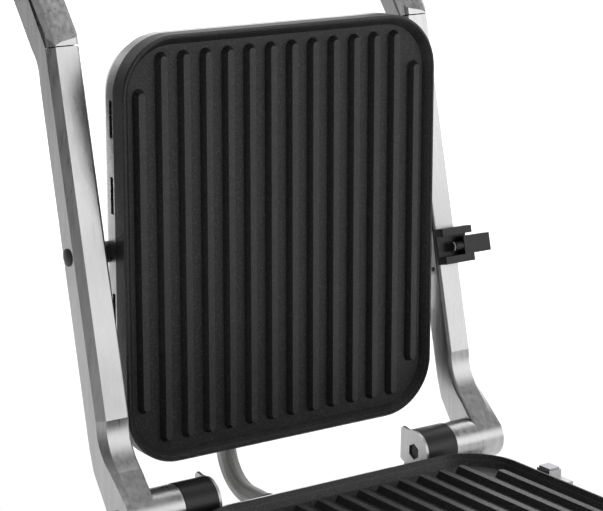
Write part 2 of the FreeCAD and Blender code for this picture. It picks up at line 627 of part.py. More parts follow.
shell = shell.cut(box(-TRAY_HALF - TRAY_GAP, TRAY_HALF + TRAY_GAP, BASE_FRONT_Y - 1, BASE_FRONT_Y + 12,
                      tray_z0 - TRAY_GAP, tray_z0 + TRAY_HIGH + TRAY_GAP))

# Bottom pan, feet and what is inside the base.
pan_front = front_y(FASCIA_LOW, WALL + 0.3)
pan = rounded_block(-SHELL_HALF_X + WALL + 0.3, SHELL_HALF_X - WALL - 0.3, pan_front,
                    BASE_BACK_Y - WALL - 0.3, PAN_Z - 2.0, PAN_Z, SHELL_CORNER - WALL - 0.3)
FOOT_X = SHELL_HALF_X - 26
FOOT_YS = (BASE_FRONT_Y + 30, BASE_BACK_Y - 26)
foot_places = [(sx * FOOT_X, y) for sx in (-1, 1) for y in FOOT_YS] + [(0, 0)]
feet = []
for fx, fy in foot_places:
    feet.append(rod_z(0, PAN_Z - 2.0, fx, fy, FOOT_R))
keep("rubber_feet", *feet)
keep("base_pan", pan)
screws = [rod_z(PAN_Z - 3.6, PAN_Z - 2.0, sx * (SHELL_HALF_X - 14), y, 3.2)
          for sx in (-1, 1) for y in (BASE_FRONT_Y + 70, 30, BASE_BACK_Y - 60)]
keep("base_screws", *screws)


def element(half_x, y0, y1, z, tail_y, r):
    """Heating rod bent into a U with straight cold ends."""
    bend = 30.0
    legs = [rod_y(y0 + bend, y1, sx * half_x, z, r) for sx in (-1, 1)]
    cross = rod_x(-half_x + bend, half_x - bend, y0, z, r)
    turns = []
    for sx in (-1, 1):
        centre = Vector(sx * (half_x - bend), y0 + bend, z)
        start = Vector(sx * half_x, y0 + bend, z)
        ring = Part.makeTorus(bend, r, centre, Vector(0, 0, 1))
        window = box(min(centre.x, start.x + sx * r), max(centre.x, start.x + sx * r), y0 - r, y0 + bend,
                     z - r, z + r)
        turns.append(ring.common(window))
    ends = [rod_y(y1, tail_y, sx * half_x, z, r * 0.6) for sx in (-1, 1)]
    return fused(cross, *(legs + turns + ends))


ELEMENT_R = 4.0
low_element_z = LOWER_SKIRT_Z - 1.0 - ELEMENT_R - 1.6
keep("lower_element", element(86, LOWER_MID_Y - 100, LOWER_MID_Y + 90, low_element_z, LOWER_MID_Y + 112, ELEMENT_R))
reflector_z = low_element_z - ELEMENT_R - 3.0
reflector = rounded_block(-112, 112, LOWER_MID_Y - 128, LOWER_MID_Y + 128, reflector_z - 1.0, reflector_z + 10, 20)
reflector = reflector.cut(rounded_block(-111, 111, LOWER_MID_Y - 127, LOWER_MID_Y + 127, reflector_z, reflector_z + 20, 19))
reflector = reflector.cut([rod_y(LOWER_MID_Y + 100, LOWER_MID_Y + 140, sx * 86, low_element_z, ELEMENT_R)
                           for sx in (-1, 1)])
keep("lower_reflector", reflector)
keep("thermal_fuse", rod_x(-14, 14, LOWER_MID_Y, reflector_z + ELEMENT_R - 1.0, 3.0))
keep("terminal_block", box(30, 80, 160, 176, PAN_Z, PAN_Z + 18))

# Latch that holds the lower plate: a sprung bar at the front of the well.
LATCH_TRAVEL = 3.0
LATCH_HALF = 16.0
STEM_HALF = 5.0
STEM_GAP = 0.5
latch_front = front_y(DECK_Z) + 1.0
latch_back = PLATE_FRONT_Y - 0.4 - LATCH_TRAVEL
latch = box(-LATCH_HALF, LATCH_HALF, latch_front + LATCH_TRAVEL, latch_back + LATCH_TRAVEL, DECK_Z + 0.3, DECK_Z + 6)
stem_y = latch_front + LATCH_TRAVEL + 1.0
stem = box(-STEM_HALF, STEM_HALF, stem_y, stem_y + 3, DECK_Z - 7, DECK_Z + 1)
keep("plate_latch", fused(latch, stem))
shell = shell.cut(box(-STEM_HALF - STEM_GAP, STEM_HALF + STEM_GAP, stem_y - LATCH_TRAVEL - STEM_GAP,
                      stem_y + 3 + STEM_GAP, DECK_Z - 3, DECK_Z + 1))

# Rest for the lid: the arm comes down on this block beside the lower plate.
BLOCK_X0 = HALF_PLATE + 4.0
BLOCK_X1 = BLOCK_X0 + 11.0
BLOCK_AT = 88.0  # in front of the hinge axis
BLOCK_LONG = 13.0
BLOCK_TOP = CREST_Z + 4.2
BLOCK_STEP_TOP = CREST_Z - 2.5
BLOCK_STEP_LONG = 12.5
REST_PAD = 1.4
REST_PAD_MARGIN = 1.0
block_y0 = HINGE_Y - BLOCK_AT - BLOCK_LONG / 2
block_y1 = block_y0 + BLOCK_LONG
rest = box(BLOCK_X0, BLOCK_X1, block_y0, block_y1, DECK_Z, BLOCK_TOP - REST_PAD)
rest_step = box(BLOCK_X0, BLOCK_X1, block_y0 - BLOCK_STEP_LONG, block_y1, DECK_Z, BLOCK_STEP_TOP)
keep("arm_rest", fused(rest, rest_step))
keep("arm_rest_pad", box(BLOCK_X0 + REST_PAD_MARGIN, BLOCK_X1 - REST_PAD_MARGIN, block_y0 + REST_PAD_MARGIN,
                         block_y1 - REST_PAD_MARGIN, BLOCK_TOP - REST_PAD, BLOCK_TOP))

# Rear: conduit gland and the mains gland.
gland_r = CONDUIT_R + GLAND_WALL
base_gland = rod_y(BASE_BACK_Y - 4, BASE_BACK_Y + 7, CONDUIT_X, CONDUIT_Z, gland_r)
shell = shell.cut(rod_y(BASE_BACK_Y - 10, BASE_BACK_Y + 5, CONDUIT_X, CONDUIT_Z, gland_r + SEAT_FIT))
keep("conduit_gland_base", base_gland.cut(rod_y(BASE_BACK_Y - 10, BASE_BACK_Y + 10, CONDUIT_X, CONDUIT_Z,
                                                CONDUIT_R + SEAT_FIT)))
MAINS_X = REAR_CORNER_X - 12.0
MAINS_Z = 32.0
MAINS_BORE = 3.8
mains = rod_y(BASE_BACK_Y - 6, BASE_BACK_Y + 6, MAINS_X, MAINS_Z, 7.5)
shell = shell.cut(rod_y(BASE_BACK_Y - 10, BASE_BACK_Y + 5, MAINS_X, MAINS_Z, 7.5 + SEAT_FIT))
keep("mains_gland", mains.cut(rod_y(BASE_BACK_Y - 10, BASE_BACK_Y + 10, MAINS_X, MAINS_Z, MAINS_BORE)))
keep("base_shell", shell)

# ------------------------------------------------------------------ lid housing
# Built lying like the plate (crests up, the back below), then stood up.
cover_top = UPPER_BASE - 0.4
side_z = cover_top - COVER_SIDE


def cover_block(shrink, top):
    h = HALF_PLATE - 0.4 - shrink
    y0 = upper_y0 + 0.4 + shrink
    y1 = upper_y1 - 0.4 - shrink
    r = PLATE_CORNER - shrink
    levels = [(0, top), (0, side_z), (3.5, side_z - 8), (10, side_z - 16), (21, side_z - 22),
              (36, side_z - COVER_DOME)]
    return tapered([(h - i, y0 + i, y1 - i, max(r - i, 6), z + (shrink if k > 1 else 0))
                    for k, (i, z) in enumerate(levels)])


cover_solid = cover_block(0, cover_top)
cover = cover_solid.cut(cover_block(WALL, cover_top + 1))
vents = []
for sy in (-1, 1):
    for k in (0, 1):
        y = sy * (VENT_FIRST + k * VENT_STEP)
        z = cover_top - VENT_BACK
        vents.append(box(-HALF_PLATE - 2, HALF_PLATE + 2, y - VENT_LENGTH / 2, y + VENT_LENGTH / 2,
                         z - VENT_WIDTH / 2, z + VENT_WIDTH / 2))
cover = stand_up(cover.cut(vents))
boss_hole = rod_x(-HALF_PLATE - 2, HALF_PLATE + 2, PIVOT_Y, PIVOT_Z, PIVOT_BOSS_R + 0.2)
cover = cover.cut(boss_hole)

# Carrier inside the lid: holds the pivot bushes, the element and the plate.
carrier_z = cover_top - COVER_SIDE - 3.0
LUG_X = ARM_INNER_X - 22.5
carrier = rounded_block(-116.5, 116.5, -132, 130, carrier_z - 1.5, carrier_z, 24)
carrier = stand_up(carrier)
lug = box(LUG_X, LUG_X + 5, PIVOT_Y - 10, PIVOT_Y + 10.5, PIVOT_Z - 11, PIVOT_Z + 11)
carrier = fused(carrier, lug, mirrored(lug))
carrier = carrier.cut(rod_x(-HALF_PLATE, HALF_PLATE, PIVOT_Y, PIVOT_Z, PIVOT_BOSS_R - 1.6 + SEAT_FIT))
keep("lid_carrier", carrier)
pivot_bush = fused(rod_x(LUG_X + 5, ARM_INNER_X - 0.5, PIVOT_Y, PIVOT_Z, PIVOT_BOSS_R),
                   rod_x(LUG_X - 1, LUG_X + 5, PIVOT_Y, PIVOT_Z, PIVOT_BOSS_R - 1.6))
pivot_bush = pivot_bush.cut(rod_x(0, ARM_OUTER_X, PIVOT_Y, PIVOT_Z, PIVOT_PIN_R + RUN_FIT))
pivot_pin = rod_x(LUG_X - 4, ARM_OUTER_X - 3, PIVOT_Y, PIVOT_Z, PIVOT_PIN_R)
for side, turn in (("right", lambda sh: sh), ("left", mirrored)):
    keep("pivot_bush_" + side, turn(pivot_bush))
    keep("pivot_pin_" + side, turn(pivot_pin))

upper_element_z = UPPER_BASE - 2.0 - ELEMENT_R
keep("upper_element", stand_up(element(82, -98, 86, upper_element_z + 1.2, 104, ELEMENT_R)))
keep("lid_thermostat", stand_up(rod_z(carrier_z, UPPER_BASE + 0.6, 30, 0, 9.0)))

# Latch that holds the upper plate, at the lid's lower edge, next to the hinge.
up_low = cover_top - 7.0
up_high = cover_top - 1.6
UP_LATCH_DEEP = 5.0
up_edge = upper_y0 - 0.4
up_latch = box(-LATCH_HALF, LATCH_HALF, up_edge - UP_LATCH_DEEP, up_edge, up_low, up_high)
up_stem = box(-STEM_HALF, STEM_HALF, up_edge - 1, up_edge + 8, up_low + 1, up_high - 1)
keep("lid_latch", stand_up(fused(up_latch, up_stem)))
cover = cover.cut(stand_up(box(-STEM_HALF - STEM_GAP, STEM_HALF + STEM_GAP, up_edge - 2, up_edge + 6,
                               up_low + 1 - STEM_GAP, up_high - 1 + STEM_GAP)))

# Hood on the lid's back that takes the conduit.
hood_half = CONDUIT_R + 5.5
hood = rounded_block(CONDUIT_X - hood_half, CONDUIT_X + hood_half, CONDUIT_BACK_Y - 12, CONDUIT_BACK_Y + 11.5,
                     CONDUIT_TOP_Z - HOOD_DROP, CONDUIT_TOP_Z + HOOD_RISE, 7.0)
hood = hood.makeFillet(4.0, [e for e in hood.Edges if e.BoundBox.ZMin > CONDUIT_TOP_Z + HOOD_RISE - 1])
hood = hood.cut(stand_up(cover_solid))
hood = hood.cut(rod_z(CONDUIT_TOP_Z - 20, CONDUIT_TOP_Z + 6, CONDUIT_X, CONDUIT_BACK_Y, CONDUIT_R + 0.5))
keep("conduit_hood", max(hood.Solids, key=lambda solid: solid.Volume))
keep("lid_cover", cover)
cover_screw = stand_up(rod_z(side_z - COVER_DOME - 1.2, side_z - COVER_DOME, 0, 0, 3.4))
screw_at = [(sx * 60, sz * 70) for sx in (-1, 1) for sz in (-1, 1)]
cover_screws = []
for sx, sz in screw_at:
    one = cover_screw.copy()
    one.translate(Vector(sx, 0, sz))
    cover_screws.append(one)
keep("cover_screws", *cover_screws)

# ------------------------------------------------------------------ conduit


def tube(points, r, bend):
    """Round tube along straight runs joined by arcs of one radius."""
    path = []
    at = points[0]
    for before, corner, after in zip(points, points[1:], points[2:]):
        a = (before - corner).normalize()
        b = (after - corner).normalize()
        half_turn = (math.pi - a.getAngle(b)) / 2
        back = bend * math.tan(half_turn)
        start = corner + a * back
        end = corner + b * back
        reach = bend / math.cos(half_turn) - bend
        mid = corner + (a + b).normalize() * reach
        path += [Part.LineSegment(at, start).toShape(), Part.Arc(start, mid, end).toShape()]
        at = end
    path.append(Part.LineSegment(at, points[-1]).toShape())
    wire = Part.Wire(path)
    profile = Part.Wire([Part.makeCircle(r, points[0], points[1] - points[0])])
    solid = wire.makePipeShell([profile], True, False)
    print("conduit length", round(wire.Length, 1), "volume ratio",
          round(solid.Volume / (wire.Length * math.pi * r * r), 4))
    return solid


route = [Vector(CONDUIT_X, BASE_BACK_Y - 3, CONDUIT_Z), Vector(CONDUIT_X, CONDUIT_BACK_Y, CONDUIT_Z),
         Vector(CONDUIT_X, CONDUIT_BACK_Y, CONDUIT_TOP_Z)]
keep("conduit", tube(route, CONDUIT_R, CONDUIT_BEND))

# ------------------------------------------------------------------ height clip
front_b = ARM_FRONT - CLIP_SLIDE_GAP
low_s = CLIP_AT - CLIP_TALL / 2
high_s = CLIP_AT + CLIP_TALL / 2
clip_back = local_block(CLIP_IN_X, CLIP_OUT_X, low_s, high_s, front_b - CLIP_BACK, front_b)
flange_low = local_block(CLIP_IN_X, CLIP_OUT_X, low_s, low_s + CLIP_FLANGE, front_b - CLIP_DEEP, front_b)
flange_high = local_block(CLIP_IN_X, CLIP_OUT_X, high_s - CLIP_FLANGE, high_s, front_b - CLIP_DEEP, front_b)
hook = local_block(ARM_OUTER_X + 0.4, ARM_OUTER_X + 3.0, low_s + 2, high_s - 2, front_b - 1, FLANGE + 10)
keep("clip_carriage", fused(clip_back, flange_low, flange_high, hook))
tab_mid = CLIP_AT - TAB_BELOW
tab_low = tab_mid - TAB_TALL / 2
tab_high = tab_mid + TAB_TALL / 2
tab_b0 = front_b - CLIP_DEEP + 0.2
tab_b1 = front_b - CLIP_BACK - 0.3
tab = local_block(TAB_IN_X, TAB_OUT_X, tab_low, tab_high, tab_b0, tab_b1)
shaft_y, shaft_z = arm_point(tab_mid, (tab_b0 + tab_b1) / 2)
nose = rod_x(CLIP_IN_X + 10, TAB_IN_X + 1, shaft_y, shaft_z, 2.2)
keep("clip_tab", fused(tab, nose))
spring = rod_x(TAB_IN_X - 6.5, TAB_IN_X, shaft_y, shaft_z, 3.4)
keep("clip_spring", spring.cut(rod_x(0, ARM_OUTER_X, shaft_y, shaft_z, 2.4)))

# ------------------------------------------------------------------ output
for name, shape in nodes.items():
    shape.exportStep("parts/%s.step" % name)

print("nodes", len(nodes))
print("hinge", round(HINGE_Y, 3), round(HINGE_Z, 3), "pivot", round(PIVOT_Y, 3), round(PIVOT_Z, 3))
reach = math.hypot(PIVOT_BEHIND_HINGE, PIVOT_ABOVE_HINGE)
shut_rise = LOWER_RIM + UPPER_RIM + CLOSED_GAP + PIVOT_DEPTH - HINGE_ABOVE_CREST
open_angle = math.degrees(math.atan2(PIVOT_ABOVE_HINGE, PIVOT_BEHIND_HINGE))
shut_angle = 180 - math.degrees(math.asin(shut_rise / reach))
print("lid closes by", round(shut_angle - open_angle, 3), "degrees; plate tilt ratio",
      round(-(shut_angle - open_angle - 90) / (shut_angle - open_angle), 6))
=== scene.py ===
import bmesh
import bpy
import json
import math
from mathutils import Matrix, Vector


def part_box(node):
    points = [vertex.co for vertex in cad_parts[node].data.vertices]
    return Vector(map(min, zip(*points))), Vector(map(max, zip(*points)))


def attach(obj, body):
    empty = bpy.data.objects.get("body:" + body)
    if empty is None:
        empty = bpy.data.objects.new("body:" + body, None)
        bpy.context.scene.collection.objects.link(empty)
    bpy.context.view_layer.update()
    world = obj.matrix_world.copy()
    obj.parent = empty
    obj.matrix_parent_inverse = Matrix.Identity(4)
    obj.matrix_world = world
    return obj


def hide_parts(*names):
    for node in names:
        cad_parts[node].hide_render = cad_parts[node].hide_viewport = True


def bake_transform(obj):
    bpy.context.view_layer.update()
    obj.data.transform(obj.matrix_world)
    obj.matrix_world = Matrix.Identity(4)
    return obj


# Panini press: finishes, fine detail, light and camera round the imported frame. Metres.

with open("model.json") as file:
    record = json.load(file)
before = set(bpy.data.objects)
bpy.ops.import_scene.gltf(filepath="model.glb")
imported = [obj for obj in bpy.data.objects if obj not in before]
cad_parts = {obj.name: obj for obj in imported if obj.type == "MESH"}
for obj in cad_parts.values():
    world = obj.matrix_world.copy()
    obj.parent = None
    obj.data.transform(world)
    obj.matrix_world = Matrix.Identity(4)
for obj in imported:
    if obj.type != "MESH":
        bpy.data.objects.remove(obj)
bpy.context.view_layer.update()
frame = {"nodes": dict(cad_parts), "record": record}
NODES = frame["nodes"]
MM = 0.001


# ------------------------------------------------------------------ shader helpers


class Shader:
    """A node material with a Principled shader and object coordinates."""

    def __init__(self, name, roughness=0.5, metallic=0.0):
        self.mat = bpy.data.materials.new(name)
        self.mat.use_nodes = True
        self.tree = self.mat.node_tree
        self.bsdf = self.tree.nodes["Principled BSDF"]
        self.bsdf.inputs["Metallic"].default_value = metallic
        self.bsdf.inputs["Roughness"].default_value = roughness
        self.coords = self.node("ShaderNodeTexCoord").outputs["Object"]
        self.height = None

    def node(self, kind, **values):
        made = self.tree.nodes.new(kind)
        for key, value in values.items():
            setattr(made, key, value)
        return made

    def link(self, source, target):
        self.tree.links.new(source, target)

    def stretched(self, scale):
        """Object coordinates scaled along X, Y and Z."""
        mapping = self.node("ShaderNodeMapping")
        mapping.inputs["Scale"].default_value = scale
        self.link(self.coords, mapping.inputs["Vector"])
        return mapping.outputs["Vector"]

    def noise(self, scale, detail=3.0, vector=None, rough=0.5):
        tex = self.node("ShaderNodeTexNoise")
        tex.inputs["Scale"].default_value = scale
        tex.inputs["Detail"].default_value = detail
        tex.inputs["Roughness"].default_value = rough
        self.link(vector or self.coords, tex.inputs["Vector"])
        return tex.outputs["Fac"]

    def spread(self, value, low, high, start=0.3, end=0.7):
        """Value between start and end mapped to low..high."""
        node = self.node("ShaderNodeMapRange")
        node.inputs["From Min"].default_value = start
        node.inputs["From Max"].default_value = end
        node.inputs["To Min"].default_value = low
        node.inputs["To Max"].default_value = high
        self.link(value, node.inputs["Value"])
        return node.outputs["Result"]

    def math(self, operation, a, b):
        node = self.node("ShaderNodeMath", operation=operation)
        for socket, value in zip(node.inputs, (a, b)):
            if isinstance(value, (int, float)):
                socket.default_value = value
            else:
                self.link(value, socket)
        return node.outputs[0]

    def mix(self, factor, a, b):
        """Colour a turning into colour b as factor goes from 0 to 1."""
        node = self.node("ShaderNodeMix", data_type="RGBA")
        self.link(factor, node.inputs["Factor"])
        for socket, value in ((node.inputs[6], a), (node.inputs[7], b)):
            if isinstance(value, tuple):
                socket.default_value = (*value, 1.0)
            else:
                self.link(value, socket)
        return node.outputs[2]

    def edges(self, radius):
        """0 on open surfaces, rising towards 1 at edges sharper than a soft bend."""
        bevel = self.node("ShaderNodeBevel", samples=4)
        bevel.inputs["Radius"].default_value = radius
        geometry = self.node("ShaderNodeNewGeometry")
        dot = self.node("ShaderNodeVectorMath", operation="DOT_PRODUCT")
        self.link(bevel.outputs["Normal"], dot.inputs[0])
        self.link(geometry.outputs["Normal"], dot.inputs[1])
        return self.spread(dot.outputs["Value"], 1.0, 0.0, 0.80, 0.985)

    def colour(self, source):
        self.link(source, self.bsdf.inputs["Base Color"])

    def roughness(self, source):
        self.link(source, self.bsdf.inputs["Roughness"])

    def bump(self, height, distance, strength=1.0):
        """Stack a bump: the last one given lies on top."""
        node = self.node("ShaderNodeBump")
        node.inputs["Strength"].default_value = strength
        node.inputs["Distance"].default_value = distance
        self.link(height, node.inputs["Height"])
        if self.height is not None:
            self.link(self.height, node.inputs["Normal"])
        self.height = node.outputs["Normal"]
        self.link(self.height, self.bsdf.inputs["Normal"])

    def set(self, **values):
        for key, value in values.items():
            self.bsdf.inputs[key.replace("_", " ")].default_value = value


def scaled(colour, share):
    return tuple(channel * share for channel in colour)


# ------------------------------------------------------------------ materials


def nonstick(name, axis, crest):
    """Sprayed black coating on cast plates: sparkling grain, rib crests painted paler as a painted highlight,
    sharp edges painted lighter as a painted edge highlight.
    """
    s = Shader(name, 0.42)
    base = (0.012, 0.012, 0.0122)
    cloud = s.noise(22.0, 2.0)
    body = s.mix(s.spread(cloud, 0.0, 1.0), scaled(base, 0.85), scaled(base, 1.2))
    split = s.node("ShaderNodeSeparateXYZ")
    s.link(s.coords, split.inputs[0])
    off = s.math("ABSOLUTE", s.math("SUBTRACT", split.outputs[axis], crest), 0.0)
    on_crest = s.spread(off, 1.0, 0.0, 0.2 * MM, 0.5 * MM)
    # painted highlight: the rib crests are painted paler where light catches them, mottled by noise
    painted_highlight = s.math("MULTIPLY", on_crest, s.spread(s.noise(260.0, 3.0), 0.55, 1.0))
    body = s.mix(painted_highlight, body, (0.040, 0.040, 0.041))
    body = s.mix(s.spread(s.noise(850.0, 2.0), 0.0, 0.6, 0.52, 0.70), body, (0.075, 0.075, 0.077))
    # painted highlight: sharp edges are painted lighter than the coating
    s.colour(s.mix(s.math("MULTIPLY", s.edges(0.9 * MM), 0.35), body, (0.060, 0.060, 0.062)))
    s.roughness(s.spread(s.noise(900.0, 2.0), 0.34, 0.52))
    s.bump(s.noise(800.0, 2.0), 0.30 * MM, 0.9)
    s.bump(s.noise(420.0, 1.0), 0.10 * MM, 0.3)
    s.set(Specular_IOR_Level=0.5)
    return s.mat


def satin_metal(name, base, rough, grain, along, streak=0.12):
    """Finished metal with a fine grain that runs along one direction."""
    s = Shader(name, rough, 1.0)
    lined = s.stretched(along)
    lines = s.noise(grain, 3.0, lined, 0.6)
    broad = s.noise(14.0, 2.0)
    body = s.mix(s.spread(lines, 0.0, 1.0), scaled(base, 1.0 - streak), scaled(base, 1.0 + streak * 0.6))
    body = s.mix(s.spread(broad, 0.0, 0.25), body, scaled(base, 0.82))
    # painted highlight: sharp edges are painted lighter than the metal
    s.colour(s.mix(s.math("MULTIPLY", s.edges(0.7 * MM), 0.5), body, scaled(base, 1.25)))
    s.roughness(s.math("ADD", s.spread(lines, -0.06, 0.08), s.spread(broad, rough - 0.03, rough + 0.04)))
    s.bump(lines, 0.05 * MM, 0.35)
    s.bump(s.noise(700.0, 2.0), 0.03 * MM, 0.25)
    return s.mat


def moulded(name, base, rough, pebble=1100.0, edge_highlight=0.35):
    """Moulded plastic or rubber: fine pebble, faint clouding, sharp edges painted lighter as a painted edge
    highlight.
    """
    s = Shader(name, rough)
    cloud = s.noise(30.0, 2.0)
    body = s.mix(s.spread(cloud, 0.0, 1.0), scaled(base, 0.8), scaled(base, 1.25))
    # painted highlight: sharp edges are painted in a lighter tone
    painted_highlight = tuple(channel * 2.2 + 0.02 for channel in base)
    s.colour(s.mix(s.math("MULTIPLY", s.edges(0.5 * MM), edge_highlight), body, painted_highlight))
    s.roughness(s.spread(s.noise(600.0, 2.0), rough - 0.06, rough + 0.08))
    s.bump(s.noise(pebble, 2.0), 0.06 * MM, 0.5)
    return s.mat


ALONG_Z = (1.0, 1.0, 0.02)
ALONG_X = (0.02, 1.0, 1.0)
ALONG_Y = (1.0, 0.02, 1.0)
LOWER_RIM = 3.4 * MM  # rim above the rib crests
UPPER_RIM = 1.4 * MM
LOWER_CREST_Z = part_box("lower_plate")[1].z - LOWER_RIM
UPPER_CREST_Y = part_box("upper_plate")[0].y + UPPER_RIM
FINISHES = {
    "plate_coating": nonstick("coating_lower", 2, LOWER_CREST_Z),
    "arm_metal": satin_metal("arm_casting", (0.52, 0.52, 0.525), 0.31, 340.0, ALONG_Z, 0.18),
    "housing_steel": satin_metal("brushed_housing", (0.60, 0.60, 0.60), 0.30, 900.0, ALONG_X),
    "inner_steel": satin_metal("plain_steel", (0.42, 0.42, 0.43), 0.38, 500.0, ALONG_Y),
    "pin_steel": satin_metal("turned_steel", (0.55, 0.55, 0.56), 0.28, 700.0, ALONG_X),
    "bearing_brass": satin_metal("bearing_brass", (0.55, 0.38, 0.15), 0.32, 700.0, ALONG_X),
    "black_plastic": moulded("black_plastic", (0.014, 0.014, 0.015), 0.46),
    "panel_black": moulded("panel_gloss_black", (0.010, 0.010, 0.011), 0.16, 900.0, 0.2),
    "hinge_grey": moulded("hinge_grey_paint", (0.46, 0.46, 0.46), 0.42),
    "hinge_black": moulded("hinge_black_paint", (0.014, 0.014, 0.015), 0.42),
    "element_steel": satin_metal("heated_steel", (0.16, 0.14, 0.12), 0.5, 500.0, ALONG_X),
    "reflector_metal": satin_metal("reflector_sheet", (0.72, 0.72, 0.72), 0.22, 500.0, ALONG_Y),
    "rubber_black": moulded("black_rubber", (0.018, 0.018, 0.018), 0.72, 800.0, 0.5),
    "braid_grey": moulded("braided_sleeve", (0.42, 0.41, 0.40), 0.55),
    "lamp_red": moulded("lamp_red", (0.45, 0.02, 0.012), 0.18, 900.0, 0.1),
    "board_green": moulded("board_green", (0.02, 0.12, 0.05), 0.4),
    "ceramic_white": moulded("ceramic_white", (0.66, 0.64, 0.58), 0.3),
}

slots = {part["node"]: part["material_slot"] for part in frame["record"]["subparts"]}
for node, slot in slots.items():
    mesh = NODES[node].data
    mesh.materials.clear()
    mesh.materials.append(FINISHES[slot])
upper = NODES["upper_plate"].data
upper.materials[0] = nonstick("coating_upper", 1, UPPER_CREST_Y)
NODES["clip_spring"].data.materials[0] = FINISHES["black_plastic"]
for side in ("right", "left"):
    plate = satin_metal("hinge_plate_" + side, (0.62, 0.62, 0.62), 0.45, 500.0, ALONG_Z)
    NODES["hinge_cap_" + side].data.materials[0] = plate


# ------------------------------------------------------------------ pieces


def put(name, verts, faces, finish, body, slot, smooth=40.0):
    """A mesh piece that rides on a body and takes the finish it is given. The slot argument is not used."""
    mesh = bpy.data.meshes.new(name)
    mesh.from_pydata([tuple(v) for v in verts], [], faces)
    shape = bmesh.new()
    shape.from_mesh(mesh)
    bmesh.ops.recalc_face_normals(shape, faces=shape.faces)
    shape.to_mesh(mesh)
    shape.free()
    mesh.shade_smooth()
    mesh.set_sharp_from_angle(angle=math.radians(smooth))
    mesh.materials.append(finish)
    obj = bpy.data.objects.new(name, mesh)
    bpy.context.scene.collection.objects.link(obj)
    if body is not None:
        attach(obj, body)
    return obj


def basis(normal):
    """Two directions across a normal, the first one level."""
    n = Vector(normal).normalized()
    across = Vector((1, 0, 0)) if abs(n.x) < 0.9 else Vector((0, 1, 0))
    u = (across - n * across.dot(n)).normalized()
    return u, n.cross(u), n


def turned(profile, centre, normal, steps=48):
    """Rings of a (radius, height) loop turned about the normal: vertices and faces."""
    u, v, n = basis(normal)
    verts, faces = [], []
    size = len(profile)
    for i in range(steps):
        angle = 2 * math.pi * i / steps
        side = u * math.cos(angle) + v * math.sin(angle)
        verts += [Vector(centre) + side * r + n * h for r, h in profile]
        for j in range(size):
            k = (j + 1) % size
            after = ((i + 1) % steps) * size
            faces.append((i * size + j, after + j, after + k, i * size + k))
    return verts, faces


def slab(outline, centre, u, v, n, low, high, chamfer):
    """An outline of (a, b) points raised from low to high, with a chamfer round its top."""
    size = len(outline)
    verts, faces = [], []
    ca = sum(p[0] for p in outline) / size
    cb = sum(p[1] for p in outline) / size
    reach = max(math.hypot(p[0] - ca, p[1] - cb) for p in outline)
    for inset, h in ((0.0, low), (0.0, high - chamfer), (chamfer, high)):
        share = 1.0 - inset / reach
        verts += [Vector(centre) + u * (ca + (a - ca) * share) + v * (cb + (b - cb) * share) + n * h
                  for a, b in outline]
    for ring in (0, 1):
        for j in range(size):
            k = (j + 1) % size
            faces.append((ring * size + j, ring * size + k, (ring + 1) * size + k, (ring + 1) * size + j))
    faces.append(tuple(range(2 * size, 3 * size)))
    faces.append(tuple(range(size - 1, -1, -1)))
    return verts, faces


def joined(parts):
    """Several (vertices, faces) lists as one."""
    verts, faces = [], []
    for part_verts, part_faces in parts:
        base = len(verts)
        verts += part_verts
        faces += [tuple(base + i for i in face) for face in part_faces]
    return verts, faces


def islands(node):
    """Boxes of the separate solids in a node, as (lowest corner, highest corner)."""
    shape = bmesh.new()
    shape.from_mesh(NODES[node].data)
    bmesh.ops.remove_doubles(shape, verts=shape.verts, dist=0.002 * MM)
    left = set(shape.verts)
    boxes = []
    while left:
        stack = [left.pop()]
        found = list(stack)
        while stack:
            for edge in stack.pop().link_edges:
                for vert in edge.verts:
                    if vert in left:
                        left.remove(vert)
                        stack.append(vert)
                        found.append(vert)
        low = Vector([min(vert.co[i] for vert in found) for i in range(3)])
        high = Vector([max(vert.co[i] for vert in found) for i in range(3)])
        boxes.append((low, high))
    shape.free()
    return sorted(boxes, key=lambda b: tuple(b[0]))


# ------------------------------------------------------------------ conduit


def braid():
    """Light sleeve woven lengthwise: fine ribs, broad grey streaks and darker fine threads."""
    s = Shader("woven_sleeve", 0.55)
    uv = s.node("ShaderNodeTexCoord").outputs["UV"]
    long = s.node("ShaderNodeMapping")
    long.inputs["Scale"].default_value = (90.0, 5.0, 1.0)
    s.link(uv, long.inputs["Vector"])
    broad = s.node("ShaderNodeMapping")
    broad.inputs["Scale"].default_value = (7.0, 0.8, 1.0)
    s.link(uv, broad.inputs["Vector"])
    threads = s.noise(1.0, 2.0, long.outputs["Vector"])
    streaks = s.noise(1.0, 1.0, broad.outputs["Vector"])
    body = s.mix(s.spread(streaks, 0.0, 1.0, 0.35, 0.62), (0.27, 0.27, 0.265), (0.62, 0.62, 0.61))
    body = s.mix(s.spread(threads, 0.0, 0.55, 0.45, 0.75), body, (0.10, 0.10, 0.10))
    s.colour(body)
    s.roughness(s.spread(threads, 0.45, 0.65))
    s.bump(threads, 0.25 * MM, 0.6)
    s.set(Metallic=0.25)
    return s.mat


CONDUIT_X = -21.0 * MM
CONDUIT_R = 7.2 * MM
CONDUIT_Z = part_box("conduit")[0].z + CONDUIT_R
CONDUIT_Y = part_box("conduit")[1].y - CONDUIT_R
BEND_R = 32.0 * MM


